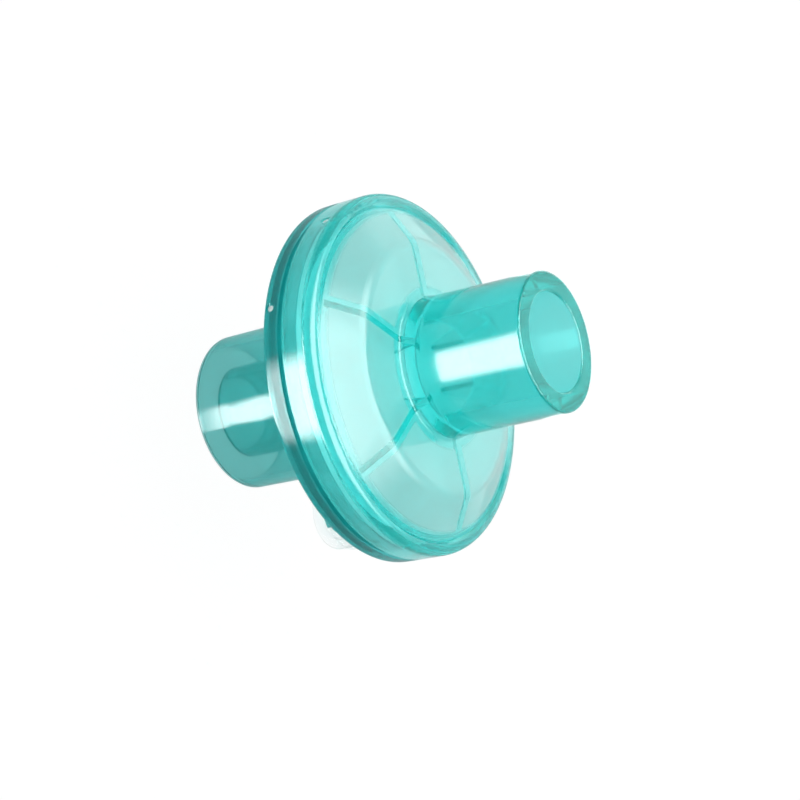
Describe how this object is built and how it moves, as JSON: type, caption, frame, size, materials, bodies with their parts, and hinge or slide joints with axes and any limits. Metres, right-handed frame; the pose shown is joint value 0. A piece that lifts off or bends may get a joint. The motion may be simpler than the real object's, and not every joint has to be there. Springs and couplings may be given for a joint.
{
  "type": "breathing circuit filter",
  "caption": "Disposable breathing circuit filter: domed teal housing round a filter pad, conical ports on one axis and a capped gas sampling port.",
  "frame": {"origin": "centre of the machine port's end face, which the filter stands on", "axes": "+Z along the flow axis towards the patient port, -Y towards the gas sampling port"},
  "size_m": [0.0578, 0.0578, 0.06],
  "materials": {
    "clear_teal_plastic": "clear teal moulding, glossy",
    "white_media": "matt nonwoven felt",
    "clear_cap_plastic": "milky clear moulding, glossy"
  },
  "bodies": {
    "housing": {"patient_shell": "clear_teal_plastic", "machine_shell": "clear_teal_plastic", "filter_media": "white_media"},
    "cap": {"luer_cap": "clear_cap_plastic"}
  },
  "joints": [
    {"name": "cap_pull", "type": "slide", "parent": "housing", "child": "cap", "axis": [0, 0, -1], "range_m": [0, 0.01]}
  ]
}
